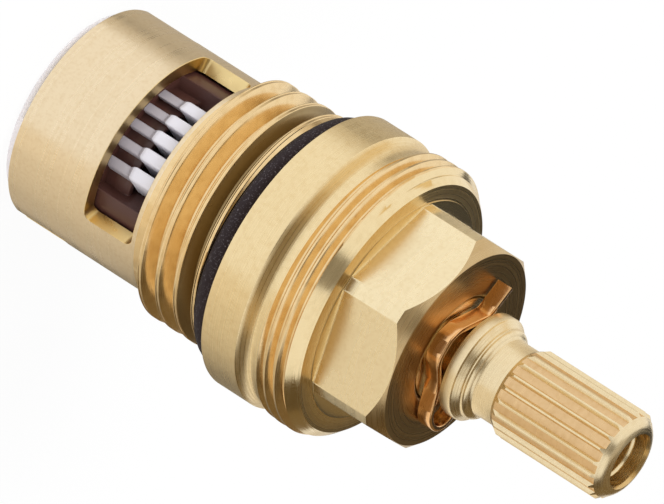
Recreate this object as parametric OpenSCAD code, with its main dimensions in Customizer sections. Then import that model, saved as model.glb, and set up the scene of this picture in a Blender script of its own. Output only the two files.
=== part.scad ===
// Quarter-turn ceramic disc tap cartridge, in millimetres.
// The axis is Z. Water enters at the seal on the bottom and leaves through the side windows.
// Origin: centre of the inlet seal's lower face. The front window faces -Y.
// Shown open: turning the spindle 90 degrees clockwise from above closes it.

/* [Inlet end and skirt] */
// Outer diameter of the skirt, the root size of the tap thread
skirt_d = 18.6; // [18:0.1:18.9]
// Length of the plain skirt below the tap thread
skirt_len = 12.9; // [12.8:0.1:16]
// Diameter of the main bore that holds the discs
main_bore_d = 16.2; // [15.6:0.1:16.4]
// Depth of the main bore from the inlet end of the brass
main_bore_len = 16.5; // [16:0.1:18]
// Edge break at the inlet end
skirt_edge = 0.25; // [0.1:0.05:0.4]
// Width of the two slots that stop the fixed disc turning
slot_w = 2.1; // [1.6:0.1:3]
// Angle from the front window to the first slot
slot_turn = 99.5; // [80:0.5:110]

/* [Outlet windows] */
// Height of each window above the inlet end of the brass
window_from = 7.7; // [7.4:0.1:9]
// Axial opening of each window
window_h = 4.8; // [3.5:0.1:5]
// Width of each window round the skirt, in degrees at the outside
window_deg = 118; // [80:1:130]
// Corner radius of the windows, the milling cutter's radius
window_corner = 0.7; // [0.4:0.1:1.6]

/* [Tap thread and flange] */
// Major diameter of the tap thread (G 1/2)
thread_d = 20.955; // [20.5:0.005:21]
// Length of the tap thread
thread_len = 7.1; // [6:0.1:10]
// Axial length of the lead-in at the lower end of the tap thread
thread_lead = 0.6; // [0.4:0.1:1]
// Chamfer at the upper end of that thread
thread_end = 0.25; // [0.15:0.05:0.5]
// Diameter of the relief that holds the body seal
relief_d = 18.3; // [17.8:0.1:18.6]
// Width of that relief
relief_len = 2.1; // [2:0.1:3]
// Section diameter of the body O-ring
body_ring_cord = 2; // [1.6:0.05:2]
// Diameter of the flange
flange_d = 24.1; // [24:0.1:27]
// Thickness of the flange
flange_len = 3.35; // [2:0.05:5]
// Edge break of the flange
flange_edge = 0.2; // [0.1:0.05:0.5]

/* [Upper thread and hexagon] */
// Diameter at the bottom of the groove above the flange
groove_d = 22.4; // [21.5:0.1:22.8]
// Width of that groove
groove_len = 2.15; // [1.5:0.05:4]
// Fillet in the groove, on the flange side
groove_fillet = 0.6; // [0.1:0.05:0.6]
// Height over which that fillet runs out
groove_slope = 1.4; // [0.6:0.1:1.4]
// Major diameter of the sleeve thread (M24 x 1)
upper_d = 24; // [23.5:0.05:24]
// Length of the sleeve thread
upper_len = 2.95; // [2:0.05:6]
// Chamfer at each end of the sleeve thread
upper_chamfer = 0.55; // [0.3:0.05:0.6]
// Diameter of the round neck under the hexagon
neck_d = 19.2; // [19.1:0.1:20.5]
// Height of that neck
neck_len = 0.7; // [0.4:0.1:2]
// Spanner size across the flats
hex_af = 17; // [16.6:0.1:17.4]
// Diameter that the corners of the hexagon are turned to
hex_corner_d = 19; // [18.4:0.1:19]
// Height of the hexagon
hex_len = 6.35; // [5:0.05:9]
// Diameter of the flat end face inside the chamfer
top_face_d = 16.9; // [16:0.1:17]
// Angle of the chamfer on top of the hexagon
hex_chamfer_deg = 45; // [25:1:50]
// Angle from the front window to the nearest corner of the hexagon
hex_turn = 12.3; // [0:0.1:60]

/* [Inlet seal] */
// Thickness of the seal's lip below the brass
seal_lip = 0.9; // [0.6:0.05:1.4]
// Outer diameter of the lip
seal_lip_d = 16.7; // [16.2:0.1:17.4]
// Height of the seal inside the bore
seal_len = 2.3; // [2:0.1:2.5]
// Bore of the seal
seal_bore_d = 11.4; // [10.8:0.1:12]
// Wall of the support ring inside the seal
support_wall = 0.75; // [0.5:0.05:1]

/* [Ceramic discs] */
// Thickness of the fixed disc
fixed_disc_len = 2.7; // [2.3:0.1:2.9]
// Thickness of the moving disc
moving_disc_len = 2.2; // [2:0.1:2.3]
// Inner radius of the ports through both discs
port_in_r = 2.1; // [1.6:0.1:3]
// Outer radius of the ports through both discs
port_out_r = 6.1; // [5:0.1:6.4]
// Half the angle of each port
port_half_deg = 40; // [30:1:42]
// Depth of the pockets in the moving disc
pocket_len = 1.4; // [0.8:0.1:1.5]

/* [Driver and flow combs] */
// Height of the driver between the moving disc and the spindle
driver_len = 6.4; // [6:0.1:6.4]
// Thickness of the driver's roof
roof_len = 0.8; // [0.5:0.1:1]
// Half the angle of each water channel in the driver
channel_half_deg = 45; // [40:1:50]
// Radius of the driver's hub between its two channels
hub_r = 3.4; // [3:0.1:3.8]
// Inner radius of the weir across the foot of each channel
weir_in_r = 6.1; // [6.1:0.05:6.3]
// Wall of the weir
weir_wall = 0.5; // [0.3:0.05:0.6]
// Floor of the driver between the weir and its rim
weir_floor = 0.45; // [0.3:0.05:0.6]
// Radial length of the driving lugs under the driver
lug_len = 2; // [1.4:0.1:2.6]
// Width of those lugs
lug_w = 2.4; // [1.6:0.1:3]
// Distance of those lugs from the axis
lug_r = 5.2; // [5:0.1:5.6]
// Fins in each comb
fin_count = 5; // [3:1:6]
// Spacing of the fins
fin_pitch = 1.67; // [1.5:0.01:1.7]
// Thickness of a fin on its outlet half
fin_w = 1.02; // [0.8:0.02:1.1]
// Thickness of a fin on its inlet half
fin_thin_w = 0.8; // [0.5:0.05:0.8]
// Length of the thin half of a fin
fin_thin_len = 2.4; // [1.5:0.1:3]
// How far the thin half lies behind the front of the thick half
fin_recess = 0.5; // [0.2:0.05:0.8]
// Thickness of the bar that joins the fins
comb_bar = 0.4; // [0.3:0.05:0.8]

/* [Spindle] */
// Diameter of the journal and of the collar above the body
journal_d = 9; // [8.6:0.1:9.4]
// Thickness of the spindle's thrust flange
thrust_len = 1.9; // [1.6:0.1:2]
// Diameter of the round part of the thrust flange
thrust_d = 11.6; // [11:0.1:11.6]
// Thickness of the slip washer above the flange
washer_len = 0.75; // [0.5:0.05:1]
// Width of the flat tang that turns the driver
tang_w = 9.4; // [8:0.1:10]
// Thickness of that tang
tang_t = 3; // [2.4:0.1:3.4]
// Length of that tang
tang_len = 4; // [3:0.1:4.5]
// Half the angle of the stop inside the body
stop_half_deg = 20; // [12:1:30]
// Turn between the stops, from open to closed
turn_deg = 90; // [85:1:95]
// Section diameter of the spindle O-rings
spindle_ring_cord = 1.2; // [1.1:0.05:1.3]
// Width of each O-ring groove
ring_groove_len = 1.6; // [1.5:0.1:2]
// Height of the lower O-ring above the tap thread
lower_ring_up = 4.8; // [3:0.1:6]
// Spacing of the two O-rings
ring_pitch = 4; // [3:0.1:6]
// Width of the clip groove above the body
clip_groove_len = 2.1; // [1.6:0.1:3]
// Diameter at the bottom of that groove
clip_groove_d = 6.2; // [5.8:0.1:6.6]
// Height of the collar above the clip groove
collar_len = 1.2; // [0.8:0.1:2]
// Round at the top edge of the collar
collar_round = 0.4; // [0.2:0.05:0.5]
// Diameter of the neck between collar and spline
shank_d = 6.7; // [6:0.1:6.8]
// Length of that neck
shank_len = 2.55; // [1.5:0.05:5]
// Outer diameter of the spline
spline_d = 7.7; // [7.3:0.05:8]
// Diameter at the bottom of the spline's grooves
spline_root_d = 7.1; // [6.9:0.02:7.3]
// Length of the spline
spline_len = 11.15; // [8:0.05:14]
// Teeth of the spline
spline_teeth = 20; // [16:1:22]
// Width of a tooth's crest
spline_crest = 0.26; // [0.1:0.02:0.4]
// Width of a groove's bottom
spline_root_w = 0.7; // [0.2:0.02:0.8]
// Lead-in at the lower end of the spline
spline_lead = 0.75; // [0.4:0.05:1]
// Chamfer at the tip of the spline
spline_chamfer = 0.45; // [0.3:0.05:0.6]
// How far the nose falls away from the tip to that chamfer
nose_fall = 0.3; // [0.1:0.05:0.5]
// Flat rim left round the countersink at the tip
nose_rim = 0.1; // [0.05:0.05:0.2]
// Diameter of the handle screw's hole (M5 tapping size)
screw_d = 4.2; // [3.2:0.1:4.4]
// Depth of that hole
screw_len = 9.5; // [6:0.5:12]
// Diameter of the hole's countersink
screw_sink_d = 4.9; // [4.6:0.1:5.6]

/* [Retaining clip] */
// Width of the clip's strip, along the axis
clip_w = 1.1; // [0.8:0.05:1.5]
// Thickness of the strip
clip_t = 0.5; // [0.3:0.05:0.6]
// How far the bow stands out in front of the axis
clip_bow = 4.75; // [4.3:0.05:5.4]
// Reach of the clip to each side of the axis
clip_half_span = 6.3; // [5.8:0.05:6.8]
// Angle from the bow's middle to where the clip grips the spindle
grip_deg = 54; // [48:1:58]

/* [Clearances] */
// Radial gap of the spindle in its bore, and of the pieces that slide together
running_gap = 0.05; // [0.02:0.01:0.08]
// Axial gap between faces that turn on each other
face_gap = 0.02; // [0.01:0.01:0.05]
// Radial gap of the discs and the driver in the main bore
bore_gap = 0.25; // [0.15:0.05:0.3]
// Gap of the clip above the end face
clip_gap = 0.15; // [0.1:0.05:0.3]
// Clearance of the stops at each end of the turn, in degrees
stop_gap_deg = 1; // [0.5:0.5:2]

/* [Hidden] */
$fn = 96;

// How far a cutter runs past the surface that it opens, and a tongue back into its ring
past = 1;

// Radii
skirt_r = skirt_d / 2;
bore_r = main_bore_d / 2;
thread_r = thread_d / 2;
relief_r = relief_d / 2;
flange_r = flange_d / 2;
groove_r = groove_d / 2;
upper_r = upper_d / 2;
neck_r = neck_d / 2;
top_face_r = top_face_d / 2;
journal_r = journal_d / 2;
journal_bore_r = journal_r + running_gap;
thrust_r = thrust_d / 2;
clip_groove_r = clip_groove_d / 2;
shank_r = shank_d / 2;
spline_r = spline_d / 2;
spline_root_r = spline_root_d / 2;
disc_r = bore_r - bore_gap;

// Heights of the brass body, from the inlet end up
z_brass = seal_lip;
z_thread = z_brass + skirt_len;
z_relief = z_thread + thread_len;
z_flange = z_relief + relief_len;
z_groove = z_flange + flange_len;
z_upper = z_groove + groove_len;
z_neck = z_upper + upper_len;
z_hex = z_neck + neck_len;
z_top = z_hex + hex_len;
z_shoulder = z_brass + main_bore_len;
z_window = z_brass + window_from;

// Heights of the discs, the driver and the spindle
z_fixed = z_brass + seal_len;
z_moving = z_fixed + fixed_disc_len + face_gap;
z_driver = z_moving + moving_disc_len + face_gap;
z_roof = z_driver + driver_len - roof_len;
z_driver_top = z_driver + driver_len;
z_thrust_top = z_shoulder - washer_len - 2 * face_gap;
z_thrust = z_thrust_top - thrust_len;
z_lower_ring = z_thread + lower_ring_up;
z_upper_ring = z_lower_ring + ring_pitch;
z_collar = z_top + clip_groove_len;
z_collar_top = z_collar + collar_len;
z_shank = z_collar_top + collar_round;
z_spline = z_shank + shank_len;
z_tip = z_spline + spline_len;
z_nose = z_tip - nose_fall;
nose_r = screw_sink_d / 2 + nose_rim;

// Slope of the chamfer on the hexagon
hex_slope = tan(hex_chamfer_deg);
// Angle of the milling cutter's last place in a window
window_end_deg = window_deg / 2 - asin(window_corner / skirt_r);
// Radius at the outside of the stop ring, and inside the stop
stop_in_r = thrust_r + bore_gap;
// Bottom of the O-ring grooves in the spindle
ring_root_r = journal_bore_r - spindle_ring_cord - running_gap;
// Outside and top of the weirs in the driver
weir_out_r = weir_in_r + weir_wall;
z_weir = z_driver + fin_thin_len - face_gap;
z_ledge = z_driver + weir_floor;
// Outside of the combs
comb_r = disc_r - running_gap;
// Height of the combs
comb_len = z_roof - z_driver - 2 * face_gap;
// Reach of the slots' tongues through the skirt
tongue_r = skirt_r - skirt_edge;

// A ring of rectangular section
module ring(r_in, r_out, z_from, z_to) {
    rotate_extrude()
        translate([r_in, z_from])
            square([r_out - r_in, z_to - z_from]);
}

// Part of such a ring, from one angle to another, counted from the front (-Y)
module ring_sector(r_in, r_out, z_from, z_to, from_deg, to_deg) {
    rotate([0, 0, from_deg - 90])
        rotate_extrude(angle = to_deg - from_deg)
            translate([r_in, z_from])
                square([r_out - r_in, z_to - z_from]);
}

// A round cord bent to a ring
module cord_ring(centre_r, cord, z_mid) {
    rotate_extrude()
        translate([centre_r, z_mid])
            circle(d = cord, $fn = 48);
}

// The two tongues that lie in the skirt's slots, from inside the bore outwards
module slot_tongues(z_from, z_to, width, r_out) {
    for (side = [0, 180])
        rotate([0, 0, slot_turn + side - 90])
            translate([bore_r - past, -width / 2, z_from])
                cube([r_out - bore_r + past, width, z_to - z_from]);
}

// Turned outside of the brass body, from the inlet end to the neck under the hexagon
module body_turning() {
    rotate_extrude()
        polygon(concat(
            [[0, z_brass],
             [skirt_r - skirt_edge, z_brass],
             [skirt_r, z_brass + skirt_edge],
             [skirt_r, z_thread],
             [thread_r, z_thread + thread_lead],
             [thread_r, z_relief - thread_end],
             [thread_r - thread_end, z_relief],
             [relief_r, z_relief],
             [relief_r, z_flange],
             [flange_r - flange_edge, z_flange],
             [flange_r, z_flange + flange_edge],
             [flange_r, z_groove - flange_edge],
             [flange_r - flange_edge, z_groove],
             [groove_r + groove_fillet, z_groove]],
            [for (a = [15 : 15 : 90])
                [groove_r + groove_fillet * (1 - sin(a)),
                 z_groove + groove_slope * (1 - cos(a))]],
            [[groove_r, z_upper],
             [upper_r - upper_chamfer, z_upper],
             [upper_r, z_upper + upper_chamfer / 2],
             [upper_r, z_neck - upper_chamfer],
             [upper_r - upper_chamfer, z_neck],
             [neck_r, z_neck],
             [neck_r, z_hex],
             [0, z_hex]]));
}

// Hexagon with turned corners and a chamfered top
module body_hexagon() {
    corner_r = hex_corner_d / 2;
    intersection() {
        translate([0, 0, z_hex])
            rotate([0, 0, hex_turn - 90])
                cylinder(h = hex_len, r = hex_af / 2 / cos(30), $fn = 6);
        rotate_extrude()
            polygon([[0, z_hex],
                     [corner_r, z_hex],
                     [corner_r, z_top - (corner_r - top_face_r) * hex_slope],
                     [top_face_r, z_top],
                     [0, z_top]]);
    }
}

// One window, cut as a milling cutter leaves it while the body turns
module window_cutter() {
    z_to = z_window + window_h;
    inside_r = bore_r - past;
    ring_sector(inside_r, flange_r, z_window, z_to, -window_end_deg, window_end_deg);
    for (end_deg = [-window_end_deg, window_end_deg])
        rotate([0, 0, end_deg])
            translate([0, -inside_r, 0])
                rotate([90, 0, 0])
                    linear_extrude(flange_r - inside_r) {
                        translate([-window_corner, z_window + window_corner])
                            square([2 * window_corner, window_h - 2 * window_corner]);
                        for (z_end = [z_window + window_corner, z_to - window_corner])
                            translate([0, z_end])
                                circle(window_corner, $fn = 48);
                    }
}

module valve_body() {
    color("goldenrod") {
        difference() {
            union() {
                body_turning();
                body_hexagon();
            }
            translate([0, 0, z_brass - past])
                cylinder(h = main_bore_len + past, r = bore_r);
            translate([0, 0, z_shoulder - past])
                cylinder(h = z_top - z_shoulder + 2 * past, r = journal_bore_r);
            for (side = [0, 180])
                rotate([0, 0, side])
                    window_cutter();
            slot_tongues(z_brass - past, z_moving, slot_w, flange_r);
        }
        ring_sector(stop_in_r, bore_r + running_gap, z_thrust, z_shoulder + running_gap,
                    180 - stop_half_deg, 180 + stop_half_deg);
    }
}

module body_o_ring() {
    color("#2d262d")
        cord_ring(relief_r + body_ring_cord / 2 + running_gap, body_ring_cord,
                  z_flange - body_ring_cord / 2);
}

module inlet_seal() {
    color("#e8e4ee")
        difference() {
            union() {
                cylinder(h = seal_lip, d = seal_lip_d);
                translate([0, 0, seal_lip])
                    cylinder(h = seal_len, r = bore_r - running_gap);
                slot_tongues(z_brass, z_fixed, slot_w - 2 * running_gap, tongue_r);
            }
            translate([0, 0, -past])
                cylinder(h = seal_lip + seal_len + 2 * past, d = seal_bore_d);
        }
}

module seal_support_ring() {
    color("#8f9296")
        ring(seal_bore_d / 2 - running_gap - support_wall, seal_bore_d / 2 - running_gap,
             seal_lip, z_fixed);
}

// The two water ports through a disc
module disc_ports(z_from, z_to) {
    for (side = [0, 180])
        ring_sector(port_in_r, port_out_r, z_from, z_to,
                    side - port_half_deg, side + port_half_deg);
}

module fixed_disc() {
    color("#d9d6cf")
        difference() {
            union() {
                ring(0, disc_r, z_fixed, z_fixed + fixed_disc_len);
                slot_tongues(z_fixed, z_fixed + fixed_disc_len, slot_w - 2 * running_gap, tongue_r);
            }
            disc_ports(z_fixed - past, z_moving);
        }
}

// The driving lugs, or the pockets that take them
module driving_lugs(z_from, z_to, gap) {
    for (side = [0, 180])
        rotate([0, 0, side])
            translate([lug_r - lug_len / 2 - gap, -lug_w / 2 - gap, z_from])
                cube([lug_len + 2 * gap, lug_w + 2 * gap, z_to - z_from]);
}

module moving_disc() {
    color("#f1efe9")
        difference() {
            ring(0, disc_r, z_moving, z_moving + moving_disc_len);
            disc_ports(z_moving - past, z_driver + past);
            driving_lugs(z_driver - face_gap - pocket_len, z_driver + past, running_gap);
        }
}

// One water channel of the driver, cut round a weir that stands at its foot
module channel_cutter(side) {
    z_foot = z_driver - past;
    rotate([0, 0, side - channel_half_deg - 90])
        rotate_extrude(angle = 2 * channel_half_deg)
            polygon([[hub_r, z_foot],
                     [weir_in_r, z_foot],
                     [weir_in_r, z_weir],
                     [weir_out_r, z_weir],
                     [weir_out_r, z_ledge],
                     [disc_r + past, z_ledge],
                     [disc_r + past, z_roof],
                     [hub_r, z_roof]]);
}

module disc_driver() {
    color("#4b2f2a") {
        difference() {
            ring(0, disc_r, z_driver, z_driver_top);
            for (side = [0, 180])
                channel_cutter(side);
            translate([-tang_w / 2 - running_gap, -tang_t / 2 - running_gap,
                       z_thrust - tang_len - running_gap])
                cube([tang_w + 2 * running_gap, tang_t + 2 * running_gap, tang_len + past]);
        }
        driving_lugs(z_driver - pocket_len, z_driver + running_gap, 0);
    }
}

// Comb of parallel fins that steadies the water as it leaves by one window.
// The thick halves rest on the driver's weir, and the thin halves hang in front of it.
module flow_comb(side) {
    first_x = -(fin_count - 1) / 2 * fin_pitch;
    comb_half_w = fin_w / 2 - first_x;
    fin_len = skirt_r - comb_half_w - running_gap;
    z_from = z_driver + face_gap;
    z_thick = z_from + fin_thin_len;
    z_to = z_from + comb_len;
    z_thin = z_ledge + face_gap;
    rotate([0, 0, side]) {
        intersection() {
            ring_sector(weir_out_r + running_gap, comb_r - fin_recess, z_thin, z_to, -89, 89);
            for (i = [0 : fin_count - 1])
                translate([first_x + i * fin_pitch - fin_thin_w / 2, -skirt_r, z_thin])
                    cube([fin_thin_w, fin_len, z_to - z_thin]);
        }
        intersection() {
            ring_sector(hub_r + running_gap, comb_r, z_thick, z_to, -89, 89);
            union() {
                for (i = [0 : fin_count - 1])
                    translate([first_x + i * fin_pitch - fin_w / 2, -skirt_r, z_thick])
                        cube([fin_w, fin_len, comb_len - fin_thin_len]);
                translate([-comb_half_w, -skirt_r, z_to - comb_bar])
                    cube([2 * comb_half_w, fin_len, comb_bar]);
            }
        }
    }
}

module flow_comb_front() {
    color("#e2e1e8")
        flow_comb(0);
}

module flow_comb_rear() {
    color("#e2e1e8")
        flow_comb(180);
}

// Spline outline: narrow crests with wide shallow grooves between them
module spline_outline() {
    pitch_deg = 360 / spline_teeth;
    crest_deg = asin(spline_crest / spline_d);
    root_deg = asin(spline_root_w / spline_root_d);
    polygon([for (i = [0 : spline_teeth - 1])
             for (p = [[-crest_deg, spline_r],
                       [crest_deg, spline_r],
                       [pitch_deg / 2 - root_deg, spline_root_r],
                       [pitch_deg / 2 + root_deg, spline_root_r]])
                p[1] * [cos(i * pitch_deg + p[0]), sin(i * pitch_deg + p[0])]]);
}

// Turned length of the spindle, from the thrust flange to the root of the spline
module spindle_turning() {
    groove_half = ring_groove_len / 2;
    rotate_extrude()
        polygon(concat(
            [[0, z_thrust],
             [thrust_r, z_thrust],
             [thrust_r, z_thrust_top],
             [journal_r, z_thrust_top]],
            [for (z_ring = [z_lower_ring, z_upper_ring])
             for (p = [[journal_r, -groove_half],
                       [ring_root_r, -groove_half],
                       [ring_root_r, groove_half],
                       [journal_r, groove_half]])
                [p[0], z_ring + p[1]]],
            [[journal_r, z_top - clip_gap],
             [clip_groove_r, z_top - clip_gap],
             [clip_groove_r, z_collar],
             [journal_r, z_collar],
             [journal_r, z_collar_top]],
            [for (a = [15 : 15 : 90])
                [journal_r - collar_round * (1 - cos(a)), z_collar_top + collar_round * sin(a)]],
            [[shank_r, z_shank],
             [shank_r, z_spline],
             [0, z_spline]]));
}

module spindle() {
    color("#e0bd80")
        difference() {
            union() {
                spindle_turning();
                ring_sector(thrust_r - running_gap, disc_r, z_thrust, z_thrust_top,
                            180 + turn_deg + stop_half_deg + stop_gap_deg,
                            540 - stop_half_deg - stop_gap_deg);
                translate([-tang_w / 2, -tang_t / 2, z_thrust - tang_len])
                    cube([tang_w, tang_t, tang_len + running_gap]);
                intersection() {
                    translate([0, 0, z_spline])
                        linear_extrude(spline_len)
                            spline_outline();
                    rotate_extrude()
                        polygon([[0, z_spline],
                                 [shank_r, z_spline],
                                 [spline_r, z_spline + spline_lead],
                                 [spline_r, z_nose - spline_chamfer],
                                 [spline_r - spline_chamfer, z_nose],
                                 [nose_r, z_tip],
                                 [0, z_tip]]);
                }
            }
            translate([0, 0, z_tip - screw_len])
                cylinder(h = screw_len + past, d = screw_d);
            translate([0, 0, z_tip - (screw_sink_d - screw_d) / 2])
                cylinder(h = past, d1 = screw_d, d2 = screw_d + 2 * past);
        }
}

module thrust_washer() {
    color("#c8c4b6")
        ring(journal_r + bore_gap, thrust_r, z_thrust_top + face_gap, z_shoulder - face_gap);
}

// O-ring in a groove of the spindle
module spindle_o_ring(z_mid) {
    color("#2d262d")
        cord_ring(ring_root_r + (spindle_ring_cord + running_gap) / 2, spindle_ring_cord, z_mid);
}

module spindle_o_ring_lower() {
    spindle_o_ring(z_lower_ring);
}

module spindle_o_ring_upper() {
    spindle_o_ring(z_upper_ring);
}

// Radius of the strip's middle line where the clip grips the spindle
grip_r = clip_groove_r + 2 * running_gap + clip_t / 2;
// The strip leaves the spindle on both sides this far in front of the axis
leave_y = 1.05;
// The bow's shoulders lie this far behind its middle
bow_fall = 0.9;
// Length of the tab, and how far its end lies behind its bend
tab_len = 1.3;
tab_back = 0.2;
// The curl on the right: its front, its side and its back, as distances from the clip's reach and the axis
curl_front = [0.95, 0.25];
curl_side = [0.4, 1.5];
curl_back = [1.3, 2.75];
// The strip ends behind the spindle at this angle
rear_grip_deg = 48;
// Middle line of the clip's strip seen from above, with the front bow towards -Y.
// One end is a straight tab. The bow is gripped in on both sides of the spindle, then the strip
// curls round on the right and ends against the back of the spindle.
clip_line = concat(
    [[-clip_half_span, -leave_y + 3 * tab_back],
     [-clip_half_span + tab_len, -leave_y + 2 * tab_back],
     [-grip_r, -leave_y],
     grip_r * [-sin(grip_deg), -cos(grip_deg)],
     [-grip_r / 2, -clip_bow + bow_fall],
     [0, -clip_bow],
     [grip_r / 2, -clip_bow + bow_fall],
     grip_r * [sin(grip_deg), -cos(grip_deg)],
     [grip_r + clip_t, -leave_y],
     [clip_half_span - curl_front[0], -curl_front[1]],
     [clip_half_span - curl_side[0], curl_side[1]],
     [clip_half_span - curl_back[0], curl_back[1]],
     [grip_r, (curl_back[1] + 2 * grip_r) / 3],
     [grip_r / 2, grip_r]],
    [for (a = [0 : rear_grip_deg / 4 : rear_grip_deg]) grip_r * [-sin(a), cos(a)]]);
// Steps between two points of that line
clip_steps = 6;

// Smooth curve through four points, at t from the second (0) to the third (1)
function through(p0, p1, p2, p3, t) =
    0.5 * (2 * p1 + (p2 - p0) * t + (2 * p0 - 5 * p1 + 4 * p2 - p3) * t * t
           + (3 * p1 - p0 - 3 * p2 + p3) * t * t * t);

function smooth_line(p) =
    concat([for (i = [0 : len(p) - 2])
            for (k = [0 : clip_steps - 1])
                through(p[max(i - 1, 0)], p[i], p[i + 1], p[min(i + 2, len(p) - 1)], k / clip_steps)],
           [p[len(p) - 1]]);

// The line moved sideways by a distance
function beside(p, distance) =
    [for (i = [0 : len(p) - 1])
        let (ahead = p[min(i + 1, len(p) - 1)],
             behind = p[max(i - 1, 0)],
             along = (ahead - behind) / norm(ahead - behind))
        p[i] + distance * [-along[1], along[0]]];

function reversed(p) = [for (i = [len(p) - 1 : -1 : 0]) p[i]];

module retaining_clip() {
    line = smooth_line(clip_line);
    color("#be6e3c")
        translate([0, 0, z_top + clip_gap])
            rotate([0, 0, hex_turn])
                linear_extrude(clip_w)
                    polygon(concat(beside(line, clip_t / 2), reversed(beside(line, -clip_t / 2))));
}

valve_body();
body_o_ring();
inlet_seal();
seal_support_ring();
fixed_disc();
moving_disc();
disc_driver();
flow_comb_front();
flow_comb_rear();
spindle();
thrust_washer();
spindle_o_ring_lower();
spindle_o_ring_upper();
retaining_clip();
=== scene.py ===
import math

import bmesh
import bpy
import numpy as np
from bpy.props import FloatProperty, FloatVectorProperty, IntProperty, PointerProperty
from mathutils import Matrix, Vector


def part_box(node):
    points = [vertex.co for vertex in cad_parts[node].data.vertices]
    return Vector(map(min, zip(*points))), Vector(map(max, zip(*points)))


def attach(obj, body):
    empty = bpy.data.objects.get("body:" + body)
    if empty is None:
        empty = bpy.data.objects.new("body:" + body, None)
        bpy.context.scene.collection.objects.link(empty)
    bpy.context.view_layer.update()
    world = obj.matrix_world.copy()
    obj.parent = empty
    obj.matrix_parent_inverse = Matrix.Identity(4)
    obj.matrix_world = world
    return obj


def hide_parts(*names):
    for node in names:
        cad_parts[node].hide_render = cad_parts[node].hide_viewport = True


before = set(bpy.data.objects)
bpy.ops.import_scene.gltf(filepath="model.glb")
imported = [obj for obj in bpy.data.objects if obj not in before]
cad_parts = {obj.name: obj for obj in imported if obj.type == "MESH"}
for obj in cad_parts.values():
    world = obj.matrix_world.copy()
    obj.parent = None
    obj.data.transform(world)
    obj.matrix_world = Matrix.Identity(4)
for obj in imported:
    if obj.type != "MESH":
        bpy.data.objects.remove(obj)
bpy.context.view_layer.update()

bl_info = {
    "name": "Ceramic disc tap cartridge",
    "version": (1, 0, 0),
    "blender": (4, 5, 0),
    "location": "3D View > Sidebar > Cartridge",
    "description": "Dresses the packed tap cartridge with threads, finishes and a white studio",
    "category": "Object",
}

MM = 0.001
FULL_TURN = 360
# Angle of one side of the hexagon
HEX_DEG = 60
# Azimuth of the front window, which faces -Y
FRONT_DEG = -90
FRONT = math.radians(FRONT_DEG)
# Vertices nearer than this are one vertex
WELD = 0.001 * MM
# How near a vertex lies to a level that it belongs to
LEVEL = 0.01 * MM
# How far forms that are joined reach into each other
LAP = 0.05 * MM
# Edges that bend by more than this, in degrees, stay sharp: on most pieces, and on body and spindle
SHARP_DEG, TURNED_SHARP_DEG = 38, 28


# Sizes and colours

def length(name, text, mm):
    """A size in millimetres, kept in metres."""
    return FloatProperty(name=name, description=text, default=mm * MM, unit="LENGTH", precision=5)


def angle(name, text, degrees):
    """An angle in degrees, kept in radians."""
    return FloatProperty(name=name, description=text, default=math.radians(degrees), unit="ROTATION")


def count(name, text, number, low, high):
    """A whole number between its limits."""
    return IntProperty(name=name, description=text, default=number, min=low, max=high)


def linear(code):
    """sRGB hex colour as linear red, green and blue."""
    parts = [int(code[i:i + 2], 16) / 255 for i in (1, 3, 5)]
    return [c / 12.92 if c <= 0.04045 else ((c + 0.055) / 1.055) ** 2.4 for c in parts]


def colour(name, text, code):
    """A colour written as an sRGB hex value."""
    return FloatVectorProperty(name=name, description=text, default=linear(code), subtype="COLOR", size=3,
                               min=0, max=1)


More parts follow.
